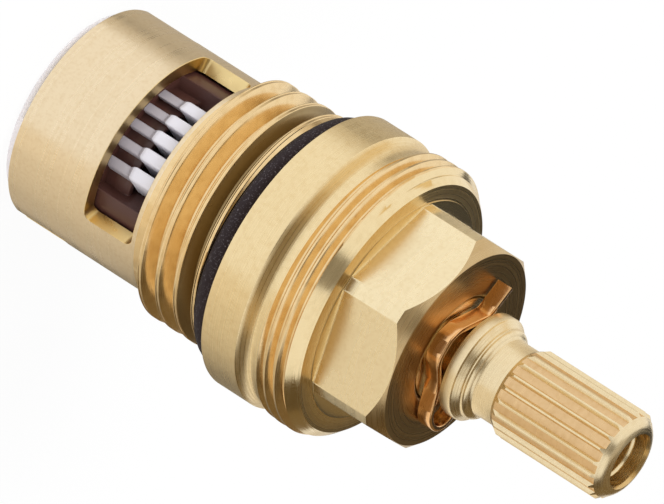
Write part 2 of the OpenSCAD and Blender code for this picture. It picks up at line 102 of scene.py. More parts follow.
class BodySizes(bpy.types.PropertyGroup):
    skirt_d: length("Skirt", "Outer diameter of the skirt", 18.6)
    bore_d: length("Main bore", "Bore that holds the discs", 16.2)
    shoulder_up: length("Shoulder", "Height of the shoulder at the end of the main bore", 17.4)
    journal_bore_d: length("Journal bore", "Bore that the spindle turns in", 9.1)
    slot_w: length("Slot", "Width of the two slots that hold the fixed disc", 2.1)
    slot_top: length("Slot top", "Height of the end of those slots", 5.92)
    slot_turn: angle("Slot angle", "Angle from the front window to the first slot", 99.5)
    window_bottom: length("Window bottom", "Height of the lower edge of the windows", 8.6)
    window_h: length("Window height", "Axial opening of a window", 4.8)
    window_half: angle("Window half angle", "Half the width of a window round the skirt", 59)
    window_corner: length("Window corner", "Radius of the milling cutter", 0.7)
    window_edge: length("Window edge", "Edge break round a window", 0.04)
    window_flare: angle("Window flare", "How far the ends of a window open outwards", 14)
    thread_d: length("Tap thread", "Major diameter of the tap thread", 20.955)
    thread_bottom: length("Tap thread bottom", "Height of the lower end of the tap thread", 13.8)
    thread_top: length("Tap thread top", "Height of the upper end of the tap thread", 20.9)
    thread_pitch: length("Tap thread pitch", "14 threads to the inch", 1.814)
    thread_depth: length("Tap thread depth", "Depth of the tap thread", 1.162)
    thread_crest: length("Tap thread crest", "Height of a crest on the side that faces the camera", 15.1)
    thread_crests: count("Crests", "Crests of the tap thread that face the camera", 4, 2, 5)
    thread_end: length("Tap thread end", "Chamfer at the upper end of the tap thread", 0.08)
    rim_w: length("Rim", "Width of the land at the upper end of the tap thread", 0.35)
    rim_d: length("Rim diameter", "Diameter of that land", 20.75)
    relief_d: length("Relief", "Diameter of the relief under the body O-ring", 18.3)
    flange_d: length("Flange", "Diameter of the flange", 24.1)
    flange_bottom: length("Flange bottom", "Height of the flange's seat", 23.0)
    flange_top: length("Flange top", "Height of the flange's upper edge", 26.55)
    groove_d: length("Groove", "Diameter of the groove above the flange", 22.84)
    groove_slope: length("Groove slope", "Height over which the hollow beside the flange runs out", 1.28)
    groove_fillet: length("Groove hollow", "Depth of that hollow", 0.5)
    sleeve_d: length("Sleeve thread", "Major diameter of the sleeve thread", 24)
    sleeve_bottom: length("Sleeve thread bottom", "Height of the lower end of the sleeve thread", 28.4)
    sleeve_top: length("Sleeve thread top", "Height of the upper end of the sleeve thread", 32.05)
    sleeve_chamfer: length("Sleeve chamfer", "Chamfer at that end", 1.05)
    sleeve_pitch: length("Sleeve thread pitch", "Pitch of the sleeve thread", 1)
    sleeve_depth: length("Sleeve thread depth", "Depth of the sleeve thread", 0.55)
    sleeve_crest: length("Sleeve thread crest", "Height of a crest on the side that faces the camera", 29.17)
    neck_d: length("Neck", "Diameter of the neck under the hexagon", 19.2)
    hex_bottom: length("Hexagon bottom", "Height of the foot of the hexagon", 32.15)
    hex_top: length("Hexagon top", "Height of the end face", 38.5)
    hex_af: length("Spanner size", "Hexagon across the flats", 17)
    hex_corner_d: length("Hexagon corners", "Diameter that the corners are turned to", 19)
    hex_face_d: length("End face", "Diameter of the end face inside the chamfer", 16.9)
    hex_chamfer: angle("Hexagon chamfer", "Slope of the chamfer on the hexagon", 45)
    hex_turn: angle("Hexagon turn", "Angle from the front window to the nearest corner", 12.3)
    hex_foot: length("Hexagon foot", "Fillet at the foot of the flats", 0.15)
    stop_half: angle("Stop", "Half the angle of the stop inside the body", 20)
    stop_in_d: length("Stop inside", "Diameter inside the stop", 12.1)
    stop_bottom: length("Stop bottom", "Height of the lower face of the stop", 14.71)


class SpindleSizes(bpy.types.PropertyGroup):
    journal_d: length("Journal", "Diameter of the journal and the collar", 9)
    thrust_d: length("Thrust flange", "Diameter of the thrust flange", 11.6)
    thrust_bottom: length("Thrust flange bottom", "Height of the thrust flange's lower face", 14.71)
    thrust_top: length("Thrust flange top", "Height of the thrust flange's upper face", 16.61)
    sector_d: length("Stop sector", "Diameter of the sector that meets the stop", 15.7)
    sector_from: angle("Sector start", "Start of that sector, counted from the front", 291)
    sector_to: angle("Sector end", "End of that sector, counted from the front", 519)
    tang_w: length("Tang width", "Width of the tang that turns the driver", 9.4)
    tang_t: length("Tang thickness", "Thickness of that tang", 3)
    tang_bottom: length("Tang bottom", "Height of the end of that tang", 10.71)
    groove_d: length("Ring groove", "Diameter at the bottom of the O-ring grooves", 6.6)
    groove_w: length("Ring groove width", "Width of each O-ring groove", 1.6)
    lower_ring: length("Lower O-ring", "Height of the lower O-ring", 18.6)
    upper_ring: length("Upper O-ring", "Height of the upper O-ring", 22.6)
    clip_groove_bottom: length("Clip groove bottom", "Height of the lower end of the clip groove", 38.35)
    clip_groove_d: length("Clip groove", "Diameter at the bottom of the clip groove", 6.2)
    collar_bottom: length("Collar bottom", "Height of the collar's lower face", 40.6)
    collar_top: length("Collar top", "Height of the upper end of the collar's cone", 42.2)
    bead_d: length("Bead", "Diameter of the bead between collar and shank", 7.9)
    bead_h: length("Bead height", "Height of that bead above the collar", 0.45)
    shank_d: length("Shank", "Diameter between collar and spline", 6.7)
    spline_bottom: length("Spline bottom", "Height of the lower end of the spline", 44.75)
    spline_top: length("Spline top", "Height of the spindle's tip", 55.9)
    spline_d: length("Spline", "Diameter over the spline's crests", 7.7)
    spline_root_d: length("Spline root", "Diameter in the spline's grooves", 7.1)
    spline_lead: length("Spline lead-in", "Length of the lead-in at the spline's lower end", 0.75)
    spline_teeth: count("Spline teeth", "Teeth round the spline", 20, 12, 24)
    tip_round: length("Tip round", "Radius of the round nose inside the chamfer", 1.5)
    screw_d: length("Screw hole", "Diameter of the handle screw's hole", 4.2)
    screw_depth: length("Screw hole depth", "Depth of that hole", 9.5)
    sink_d: length("Countersink", "Diameter of the hole's countersink", 4.9)
    sink_h: length("Countersink depth", "Depth of that countersink", 0.3)
    mouth_d: length("Mouth", "Diameter of the wide mouth of the screw hole", 4.6)
    mouth_depth: length("Mouth depth", "Depth of that mouth", 1.35)


class RingSizes(bpy.types.PropertyGroup):
    body_cord: length("Body O-ring", "Section of the body O-ring", 2)
    body_d: length("Body O-ring middle", "Diameter through the middle of its section", 20.4)
    body_z: length("Body O-ring height", "Height of its middle", 22)
    spindle_cord: length("Spindle O-rings", "Section of the spindle O-rings", 1.2)
    spindle_ring_d: length("Spindle O-ring middle", "Diameter through the middle of their section", 7.85)
    mould_line: length("Mould line", "How far the mould's parting line stands proud", 0.02)


class CombSizes(bpy.types.PropertyGroup):
    outer_d: length("Comb outside", "Diameter over the combs", 15.6)
    bottom: length("Comb bottom", "Height of the combs' lower end", 8.22)
    top: length("Comb top", "Height of the combs' upper end", 13.72)
    fins: count("Fins", "Fins in each comb", 5, 3, 6)
    fin_pitch: length("Fin spacing", "Spacing of the fins", 1.67)
    fin_w: length("Fin", "Thickness of a fin on its outlet half", 1.02)
    fin_thin_w: length("Thin fin", "Thickness of a fin on its inlet half", 0.8)
    fin_thin_len: length("Thin length", "Length of the thin half", 2.34)
    recess: length("Recess", "How far the thin half lies behind the thick half", 0.5)
    weir_d: length("Weir", "Diameter over the driver's weir, with the combs' clearance", 13.3)
    bar: length("Bar", "Thickness of the bar that joins the fins", 0.4)
    shoulder: length("Shoulder", "Length over which a fin grows from thin to thick", 0.7)
    round: length("Fin round", "Round on the fins' edges", 0.16)


class ClipSizes(bpy.types.PropertyGroup):
    strip_w: length("Strip width", "Width of the strip along the axis", 1.35)
    strip_t: length("Strip thickness", "Thickness of the strip", 0.5)
    strip_round: length("Strip round", "Round on the strip's edges", 0.12)
    bottom: length("Clip bottom", "Height of the clip's lower edge", 38.65)
    grip_r: length("Grip radius", "Radius of the strip's middle line at the back of the spindle", 3.45)


class EdgeSizes(bpy.types.PropertyGroup):
    seal: length("Seal", "Round on the edges of the inlet seal", 0.25)
    support: length("Support ring", "Round on the edges of the seal's support ring", 0.1)
    disc: length("Discs", "Edge break of the ceramic discs", 0.12)
    washer: length("Washer", "Edge break of the thrust washer", 0.08)
    driver: length("Driver", "Round on the edges of the driver", 0.18)
    ledge: length("Ledge", "Height of the ledge before each weir of the driver in the solid", 8.59)
    low_ledge: length("Low ledge", "Height of that ledge as it is shown, behind the window's lower edge", 8.2)


class Finishes(bpy.types.PropertyGroup):
    skirt: colour("Skirt brass", "Paler satin brass of the skirt", "#F1DDBA")
    turned: colour("Turned brass", "Body brass as the lathe left it", "#F1DAAA")
    drawn: colour("Drawn brass", "Flats of the hexagon", "#F6E4BB")
    # Painted shade: a darker brass for the end faces' dark reflections
    faced: colour("Faced brass", "End faces", "#CFB384")
    # Painted reflection: a deeper gold on the thread flanks, for their reflections in each other
    thread: colour("Thread brass", "Flanks of the threads", "#F0D3A0")
    # Painted shade: a darker brass in the tap thread's groove beside the O-ring, for the O-ring's dark
    # reflection
    thread_groove_shade: colour("Painted shade brass", "Groove of the thread beside the O-ring", "#A58E65")
    milled: colour("Milled brass", "Walls of the windows", "#F3DA9E")
    spindle: colour("Spindle brass", "Paler brass of the spindle", "#EFDBB2")
    # Painted shade: a deeper gold for the shade in the spline's grooves
    grooves: colour("Groove brass", "Grooves of the spline", "#E4C190")
    bronze: colour("Spring bronze", "Strip of the clip", "#FAC890")
    rubber: colour("Black rubber", "O-rings", "#261C1E")
    seal: colour("White rubber", "Inlet seal", "#F2F0F6")
    support: colour("Grey plastic", "Support ring in the seal", "#8F9296")
    driver: colour("Brown plastic", "Driver", "#4E302A")
    comb: colour("White plastic", "Flow combs", "#DCDAE2")
    # Painted shade: a grey copy of the comb's white for the fins' thin halves, which lie set back in shade
    fin_shade: colour("White plastic in painted shade", "Thin halves of the fins", "#A8A2A8")
    washer: colour("Slip plastic", "Thrust washer", "#C8C4B6")
    alumina: colour("Alumina", "Ceramic discs", "#EFEDE6")


class StageSettings(bpy.types.PropertyGroup):
    azimuth: angle("Camera azimuth", "Camera's way round the part from the front window", 11.5)
    elevation: angle("Camera elevation", "Camera's height above the horizon", 25)
    axis_fall: angle("Axis fall", "How far the part's axis falls to the right in the picture", 32.58)
    distance: length("Camera distance", "A long way off, so that edges stay parallel", 1200)
    frame_w: length("Frame width", "Width of the picture at the part", 51.3)
    aim_z: length("Aim height", "Height on the axis that the camera aims at", 25.18)
    aim_side: length("Aim side", "Distance of the aim from the axis, across the picture", -1.23)


# Meshes

def ring_columns(s):
    """Angles of the body's columns from a corner of the hexagon, with the corners' edges among them."""
    land = HEX_DEG / 2 - math.degrees(math.acos(s.hex_af / s.hex_corner_d))
    edges = [corner + side * land for corner in range(0, FULL_TURN + 1, HEX_DEG) for side in (-1, 1)]
    return np.array(sorted(c for c in list(range(FULL_TURN + 1)) + edges if 0 <= c <= FULL_TURN), float)


def eased(points, ease):
    """The profile with its corners rounded, by less than half of each side."""
    most = 0.45
    points = [np.array(p, float) for p in points]
    out = [points[0]]
    for before, corner, after in zip(points, points[1:], points[2:]):
        back = before - corner
        on = after - corner
        cut = min(ease, most * np.linalg.norm(back), most * np.linalg.norm(on))
        first = corner + back / np.linalg.norm(back) * cut
        last = corner + on / np.linalg.norm(on) * cut
        out += [first, (first + last + 2 * corner) / 4, last]
    return out + [points[-1]]


def mirrored(upper):
    """A thread's profile over one pitch, from its half above a crest."""
    return [(-h, r) for h, r in reversed(upper)] + upper[1:]


def thread_rows(turn, bottom, top, pitch, crest_z, profile, limit, rim=((0,), (0,))):
    """Rows of a right-hand thread. The profile gives radius by height from a crest.

    The limit cuts the thread's ends, and the rim is a land that stays. Both give radius by height.
    """
    heights = np.array([p[0] for p in profile])
    radii = np.array([p[1] for p in profile])
    lift = pitch * turn / FULL_TURN
    first = math.floor((bottom - crest_z - lift.max() - heights.max()) / pitch)
    last = math.ceil((top - crest_z - lift.min() - heights.min()) / pitch)
    rows = []
    for k in range(first, last + 1):
        for height in heights[:-1]:
            z = np.clip(crest_z + lift + k * pitch + height, bottom, top)
            along = heights[0] + np.mod(z - crest_z - lift - heights[0], pitch)
            r = np.minimum(np.interp(along, heights, radii), np.interp(z, *limit))
            rows.append((np.maximum(r, np.interp(z, *rim)), z))
    return rows


def turned_mesh(columns, groups, start_deg, closed):
    """Vertices, faces and material numbers of a turned form.

    A group is a material number and rows of radius and height.
    """
    rows = [(row, number) for number, group in groups for row in group]
    a = np.radians(start_deg + columns)
    n = len(columns)
    verts = []
    for (r, z), _ in rows:
        r, z = np.broadcast_to(r, n), np.broadcast_to(z, n)
        verts.append(np.stack([r * np.cos(a), r * np.sin(a), z], axis=1))
    faces, numbers = [], []
    pairs = [(k, k + 1) for k in range(len(rows) - 1)] + ([(len(rows) - 1, 0)] if closed else [])
    for low, high in pairs:
        for j in range(n - 1):
            faces.append((low * n + j, low * n + j + 1, high * n + j + 1, high * n + j))
        numbers += [rows[high][1]] * (n - 1)
    return np.concatenate(verts), faces, numbers


def finish_mesh(mesh, sharp_deg):
    """Welds the mesh, turns its faces outwards and marks its sharp edges."""
    bm = bmesh.new()
    bm.from_mesh(mesh)
    bmesh.ops.remove_doubles(bm, verts=bm.verts, dist=WELD)
    bmesh.ops.dissolve_degenerate(bm, edges=bm.edges, dist=WELD)
    bmesh.ops.recalc_face_normals(bm, faces=bm.faces)
    bm.to_mesh(mesh)
    bm.free()
    mesh.shade_smooth()
    mesh.set_sharp_from_angle(angle=math.radians(sharp_deg))


def put(name, data):
    """A new object in the scene."""
    made = bpy.data.objects.new(name, data)
    bpy.context.scene.collection.objects.link(made)
    return made


def make_piece(name, verts, faces, materials, numbers=None, sharp_deg=SHARP_DEG):
    """A new object from vertices and faces, with its materials."""
    mesh = bpy.data.meshes.new(name)
    mesh.from_pydata([tuple(v) for v in verts], [], faces)
    for material in materials:
        mesh.materials.append(material)
    if numbers is not None:
        mesh.polygons.foreach_set("material_index", numbers)
    finish_mesh(mesh, sharp_deg)
    return put(name, mesh)


def even_normals(piece):
    """Large faces keep flat shading beside small rounds."""
    weighted = piece.modifiers.new("even normals", "WEIGHTED_NORMAL")
    weighted.keep_sharp = True


def combine(piece, tool, operation):
    """Cuts the tool from a turned piece, or joins it on, and removes the tool."""
    cut = piece.modifiers.new("combine", "BOOLEAN")
    cut.operation = operation
    cut.solver = "EXACT"
    cut.object = tool
    cut.material_mode = "TRANSFER"
    bpy.context.view_layer.update()
    made = bpy.data.meshes.new_from_object(piece.evaluated_get(bpy.context.evaluated_depsgraph_get()))
    made.name = piece.name
    piece.modifiers.remove(cut)
    piece.data = made
    bpy.data.objects.remove(tool)
    finish_mesh(made, TURNED_SHARP_DEG)


def loft(sections):
    """Vertices and faces of a closed form through equal loops of points, with flat ends."""
    n = len(sections[0])
    verts = [p for section in sections for p in section]
    faces = [(k * n + j, k * n + (j + 1) % n, (k + 1) * n + (j + 1) % n, (k + 1) * n + j)
             for k in range(len(sections) - 1) for j in range(n)]
    faces.append(tuple(reversed(range(n))))
    faces.append(tuple(range((len(sections) - 1) * n, len(sections) * n)))
    return verts, faces


def merged(parts):
    """Vertices and faces of several forms in one list each."""
    verts, faces = [], []
    for part_verts, part_faces in parts:
        base = len(verts)
        verts += list(part_verts)
        faces += [tuple(base + i for i in face) for face in part_faces]
    return verts, faces


def box_form(low, high, turn=0):
    """A box between two corners, turned about the axis."""
    spin = Matrix.Rotation(turn, 4, "Z")
    corners = [[(low[0], low[1], z), (high[0], low[1], z), (high[0], high[1], z), (low[0], high[1], z)]
               for z in (low[2], high[2])]
    return loft([[tuple(spin @ Vector(p)) for p in section] for section in corners])


def sector_form(r_in, r_out, z_from, z_to, a_from, a_to, steps=48):
    """Part of a ring between two angles from the front."""
    sections = []
    for a in np.linspace(a_from, a_to, steps) + FRONT:
        sections.append([(r * math.cos(a), r * math.sin(a), z)
                         for r, z in ((r_in, z_from), (r_out, z_from), (r_out, z_to), (r_in, z_to))])
    return loft(sections)


def eased_copy(node, name, material, ease, segments=2, levels=(), sharp_below=-1):
    """A copy of a CAD solid with its sharp edges rounded.

    Levels are pairs of an old and a new height. Edges that lie wholly under sharp_below stay sharp.
    """
    flat, corner, sharp_deg = math.radians(1), math.radians(30), 50
    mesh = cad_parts[node].data.copy()
    mesh.name = name
    bm = bmesh.new()
    bm.from_mesh(mesh)
    bmesh.ops.remove_doubles(bm, verts=bm.verts, dist=WELD)
    for vert in bm.verts:
        for old, new in levels:
            if abs(vert.co.z - old) < LEVEL:
                vert.co.z = new
    bmesh.ops.dissolve_limit(bm, angle_limit=flat, verts=bm.verts, edges=bm.edges)
    edges = [e for e in bm.edges if len(e.link_faces) == 2 and e.calc_face_angle(0) > corner
             and max(v.co.z for v in e.verts) > sharp_below]
    bmesh.ops.bevel(bm, geom=edges, offset=ease, segments=segments, profile=0.5, affect="EDGES",
                    clamp_overlap=True)
    bm.to_mesh(mesh)
    bm.free()
    mesh.materials.clear()
    mesh.materials.append(material)
    mesh.polygons.foreach_set("material_index", [0] * len(mesh.polygons))
    finish_mesh(mesh, sharp_deg)
    piece = put(name, mesh)
    even_normals(piece)
    return piece


def settle(piece, body, node):
    """The piece rides on its body and stands for its node, which is hidden."""
    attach(piece, body)
    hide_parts(node)


# Materials

# What tarnish leaves of the red, green and blue of brass
TARNISH = (0.86, 0.8, 0.7)
# Pale dust on the black rubber
DUST = (0.5, 0.46, 0.5, 1)


def add(tree, kind, inputs=None, **settings):
    """Adds a node with its settings. An input is a value or the socket that it is linked to."""
    made = tree.nodes.new(kind)
    for name, value in settings.items():
        setattr(made, name, value)
    for key, value in (inputs or {}).items():
        if isinstance(value, bpy.types.NodeSocket):
            tree.links.new(value, made.inputs[key])
        else:
            made.inputs[key].default_value = value
    return made


def start_material(name, tint, metallic, roughness):
    """A new material with its shader's plain values set."""
    material = bpy.data.materials.new(name)
    material.use_nodes = True
    material.diffuse_color = (*tint, 1)
    shader = material.node_tree.nodes["Principled BSDF"]
    shader.inputs["Base Color"].default_value = (*tint, 1)
    shader.inputs["Metallic"].default_value = metallic
    shader.inputs["Roughness"].default_value = roughness
    return material, material.node_tree, shader


def lathe_marks(tree, spacing_mm):
    """Noise that changes along the axis and outwards and not round it, as a lathe tool leaves it."""
    place = add(tree, "ShaderNodeTexCoord").outputs["Object"]
    apart = add(tree, "ShaderNodeSeparateXYZ", {0: place})
    flat = add(tree, "ShaderNodeCombineXYZ", {0: apart.outputs[0], 1: apart.outputs[1]})
    out = add(tree, "ShaderNodeVectorMath", {0: flat.outputs[0]}, operation="LENGTH").outputs["Value"]
    along = add(tree, "ShaderNodeCombineXYZ", {0: out, 1: apart.outputs[2]})
    rings = {"Vector": along.outputs[0], "Scale": 1 / (spacing_mm * MM), "Detail": 2.0}
    return add(tree, "ShaderNodeTexNoise", rings, noise_dimensions="2D").outputs[0]


def brass(name, tint, roughness, spacing_mm, ring_depth_mm, spot_mm, spot_share):
    """Brass or bronze with its tool's rings and a faint cloudy tarnish between them."""
    # The feed of a real tool is about 0.05 mm. The rings lie further apart here, so that they show
    material, tree, shader = start_material(name, tint, 1.0, roughness)
    rings = lathe_marks(tree, spacing_mm)
    place = add(tree, "ShaderNodeTexCoord").outputs["Object"]
    spots = {"Vector": place, "Scale": 1 / (spot_mm * MM), "Detail": 3.0}
    cloud = add(tree, "ShaderNodeTexNoise", spots).outputs[0]
    dull = [c * left for c, left in zip(tint, TARNISH)]
    share = add(tree, "ShaderNodeMapRange",
                {"Value": cloud, "From Min": 0.45, "From Max": 0.75, "To Max": spot_share}).outputs[0]
    shade = add(tree, "ShaderNodeMix", {0: share, 6: (*tint, 1), 7: (*dull, 1)}, data_type="RGBA")
    rough = add(tree, "ShaderNodeMapRange", {"Value": rings, "From Min": 0.3, "From Max": 0.7,
                                             "To Min": roughness * 0.8, "To Max": roughness * 1.25})
    bump = add(tree, "ShaderNodeBump", {"Height": rings, "Strength": 1.0, "Distance": ring_depth_mm * MM})
    tree.links.new(shade.outputs[2], shader.inputs["Base Color"])
    tree.links.new(rough.outputs[0], shader.inputs["Roughness"])
    tree.links.new(bump.outputs[0], shader.inputs["Normal"])
    return material


def turned_brass(tints):
    # Free-cutting brass from the lathe: satin, with fine rings round the axis
    return brass("brass_turned_satin", tints.turned, 0.3, 0.14, 0.0012, 0.5, 0.5)


def skirt_brass(tints):
    # The skirt is turned and tumbled: a dull satin with fine specks, paler than the rest
    return brass("brass_tumbled_skirt", tints.skirt, 0.33, 0.2, 0.0008, 0.3, 0.5)


def drawn_brass(tints):
    # Flats left from the drawn bar: smoother than the turned faces and a little mottled
    return brass("brass_drawn_bar", tints.drawn, 0.26, 0.9, 0.002, 0.35, 0.4)


def faced_brass(tints):
    # Faces cut across the bar: the tool's rings show as arcs in the reflections. The tint is a darker brass,
    # painted shade for the end faces' dark reflections
    return brass("brass_faced_rings", tints.faced, 0.3, 0.22, 0.004, 0.8, 0.4)


def thread_brass(tints):
    # Cut flanks: a deeper gold than the open faces, painted in for the reflections between the flanks
    return brass("brass_cut_thread", tints.thread, 0.2, 0.1, 0.0006, 0.9, 0.7)


def ringed_brass(tints):
    # A chamfer cut with a pointed tool: bright, with plain rings
    return brass("brass_chamfer_rings", tints.turned, 0.16, 0.26, 0.009, 0.8, 0.4)


def milled_brass(tints):
    # Walls left by a sharp milling cutter: bright and plain
    return brass("brass_milled_bright", tints.milled, 0.32, 1.5, 0.0003, 0.6, 0.15)


def spindle_brass(tints):
    # Paler brass, turned fine and with rolled teeth
    return brass("brass_spindle_fine", tints.spindle, 0.27, 0.12, 0.0012, 0.5, 0.35)


def groove_brass(tints):
    # Grooves of the spline: a deeper gold as painted shade between the teeth, with faint streaks
    return brass("brass_spline_groove_shade", tints.grooves, 0.3, 0.5, 0.001, 0.4, 0.5)


def thread_groove_shade_brass(tints):
    # Tap thread groove beside the O-ring: a dark brass as painted shade for the black O-ring's reflection,
    # with a duller shine
    return brass("brass_thread_painted_shade", tints.thread_groove_shade, 0.34, 0.3, 0.0006, 0.6, 0.3)


def spring_bronze(tints):
    # Phosphor bronze strip, rolled bright and bent: copper colour with pale edges
    return brass("bronze_rolled_strip", tints.bronze, 0.17, 0.25, 0.0006, 0.5, 0.25)


def moulded(name, tint, roughness, grain_mm, depth_mm):
    """Moulded rubber or plastic, with the fine grain of its mould."""
    material, tree, shader = start_material(name, tint, 0.0, roughness)
    place = add(tree, "ShaderNodeTexCoord").outputs["Object"]
    grit = {"Vector": place, "Scale": 1 / (grain_mm * MM), "Detail": 2.0}
    grain = add(tree, "ShaderNodeTexNoise", grit).outputs[0]
    bump = add(tree, "ShaderNodeBump", {"Height": grain, "Strength": 1.0, "Distance": depth_mm * MM})
    tree.links.new(bump.outputs[0], shader.inputs["Normal"])
    return material


def black_rubber(tints):
    # Nitrile rubber from a mould: black with a dull shine and dusty specks
    material = moulded("rubber_nitrile_moulded", tints.rubber, 0.6, 0.12, 0.008)
    speck_mm = 0.11
    tree = material.node_tree
    shader = tree.nodes["Principled BSDF"]
    shader.inputs["Specular IOR Level"].default_value = 0.2
    place = add(tree, "ShaderNodeTexCoord").outputs["Object"]
    specks = {"Vector": place, "Scale": 1 / (speck_mm * MM), "Detail": 1.0}
    dust = add(tree, "ShaderNodeTexNoise", specks).outputs[0]
    share = add(tree, "ShaderNodeMapRange",
                {"Value": dust, "From Min": 0.62, "From Max": 0.78, "To Max": 0.3}).outputs[0]
    shade = add(tree, "ShaderNodeMix", {0: share, 6: (*tints.rubber, 1), 7: DUST}, data_type="RGBA")
    tree.links.new(shade.outputs[2], shader.inputs["Base Color"])
    return material


def seal_rubber(tints):
    # White silicone rubber: soft, with a wide weak shine
    return moulded("rubber_silicone_white", tints.seal, 0.5, 0.3, 0.002)


def grey_plastic(tints):
    # Grey moulded acetal: plain, with a soft shine
    return moulded("acetal_grey_moulded", tints.support, 0.4, 0.3, 0.002)


def brown_plastic(tints):
    # Dark brown moulded acetal: smooth, with a soft sheen along its edges
    return moulded("acetal_brown_moulded", tints.driver, 0.38, 0.4, 0.003)


def white_plastic(tints):
    # White moulded acetal: smooth and bright, with a soft shine
    return moulded("acetal_white_moulded", tints.comb, 0.42, 0.4, 0.002)


def fin_shade_plastic(tints):
    # The same acetal painted grey, as shade on the thin halves of the fins that lie set back
    return moulded("acetal_white_fin_shade", tints.fin_shade, 0.42, 0.4, 0.002)


def slip_plastic(tints):
    # Slippery plastic washer, cut from sheet: waxy
    return moulded("ptfe_washer_cut", tints.washer, 0.45, 0.3, 0.002)


def alumina(tints):
    # Alumina ceramic, ground and lapped: white with a clean shine
    return moulded("alumina_lapped", tints.alumina, 0.18, 0.2, 0.0005)


# Pieces

# The body's finishes, in the order of their numbers
BODY_FINISHES = (turned_brass, drawn_brass, faced_brass, skirt_brass, thread_brass, thread_groove_shade_brass,
                 ringed_brass)
TURNED, DRAWN, FACED, SKIRT, THREAD, THREAD_GROOVE_SHADE, RINGED = range(len(BODY_FINISHES))


def tap_thread_profile(s):
    """Radius by height from a crest, over one pitch: crest with a shallow dip, flanks and root."""
    r = s.thread_d / 2
    deep = r - s.thread_depth
    half = s.thread_pitch / 2
    # Half widths of the dip's floor, the dip, the flat of the crest, the crest and the root
    floor, dip, flat, crest, root = 0.07 * MM, 0.12 * MM, 0.18 * MM, 0.22 * MM, 0.08 * MM
    dip_depth, lip = 0.06 * MM, 0.05 * MM
    return mirrored([(0, r - dip_depth), (floor, r - dip_depth), (dip, r), (flat, r), (crest, r - lip),
                     (half - root, deep), (half, deep)])


def sleeve_thread_profile(s):
    """Radius by height from a crest of the finer sleeve thread."""
    r = s.sleeve_d / 2
    deep = r - s.sleeve_depth
    half = s.sleeve_pitch / 2
    # Half widths of the flat of the crest, the crest and the root
    flat, crest, root = 0.08 * MM, 0.12 * MM, 0.07 * MM
    lip = 0.05 * MM
    return mirrored([(0, r), (flat, r), (crest, r - lip), (half - root, deep), (half, deep)])


def window_tool(s, side):
    """The space that the milling cutter clears for one window, wider at the outside for the edge break."""
    reach, past = s.skirt_d / 2, 1 * MM
    end = s.window_half - math.asin(s.window_corner / reach)
    mid = s.window_bottom + s.window_h / 2
    layers = ((s.bore_d / 2 - past, 0), (reach - s.window_edge, 0), (reach, s.window_edge),
              (reach + past, s.window_edge))
    sweep = np.radians(np.linspace(0, 90, 10))
    places = [(-end, -math.cos(c), math.sin(c)) for c in sweep]
    places += [(a, 0, 1) for a in np.linspace(-end, end, 60)[1:-1]]
    places += [(end, math.cos(c), math.sin(c)) for c in sweep[::-1]]
    sections = []
    for a, across, rise in places:
        turn = a + side + FRONT
        section = []
        for sign in (-1, 1):
            for r, grow in layers[::-sign]:
                corner = s.window_corner + grow
                wide = corner - max(reach - r, 0) * math.tan(s.window_flare)
                z = mid + sign * (s.window_h / 2 - s.window_corner + corner * rise)
                section.append((r * math.cos(turn) - wide * across * math.sin(turn),
                                r * math.sin(turn) + wide * across * math.cos(turn), z))
        sections.append(section)
    return loft(sections)


def slot_tool(s, side):
    """The space of one slot at the inlet end."""
    half, past = s.slot_w / 2, 1 * MM
    return box_form((s.bore_d / 2 - past, -half, -past), (s.skirt_d / 2 + past, half, s.slot_top),
                    s.slot_turn + side + FRONT)


def finish_threads(body, s):
    """The tap thread's last groove, beside the O-ring, takes a dark brass as painted shade for the O-ring's
    reflection, and the sleeve's chamfer shows rings.
    """
    front = bpy.context.scene.cartridge_stage.azimuth + FRONT
    half_crest = 0.23 * MM
    last_z = s.thread_crest + (s.thread_crests - 1) * s.thread_pitch
    for face in body.data.polygons:
        if face.material_index == THREAD:
            turn = math.remainder(math.atan2(face.center.y, face.center.x) - front, 2 * math.pi)
            below = last_z + s.thread_pitch * turn / (2 * math.pi) - face.center.z
            # The groove beside the O-ring takes the dark brass of painted shade
            if half_crest < below < s.thread_pitch - half_crest:
                face.material_index = THREAD_GROOVE_SHADE
            elif face.center.z > s.sleeve_top - s.sleeve_chamfer + half_crest / 2:
                face.material_index = RINGED


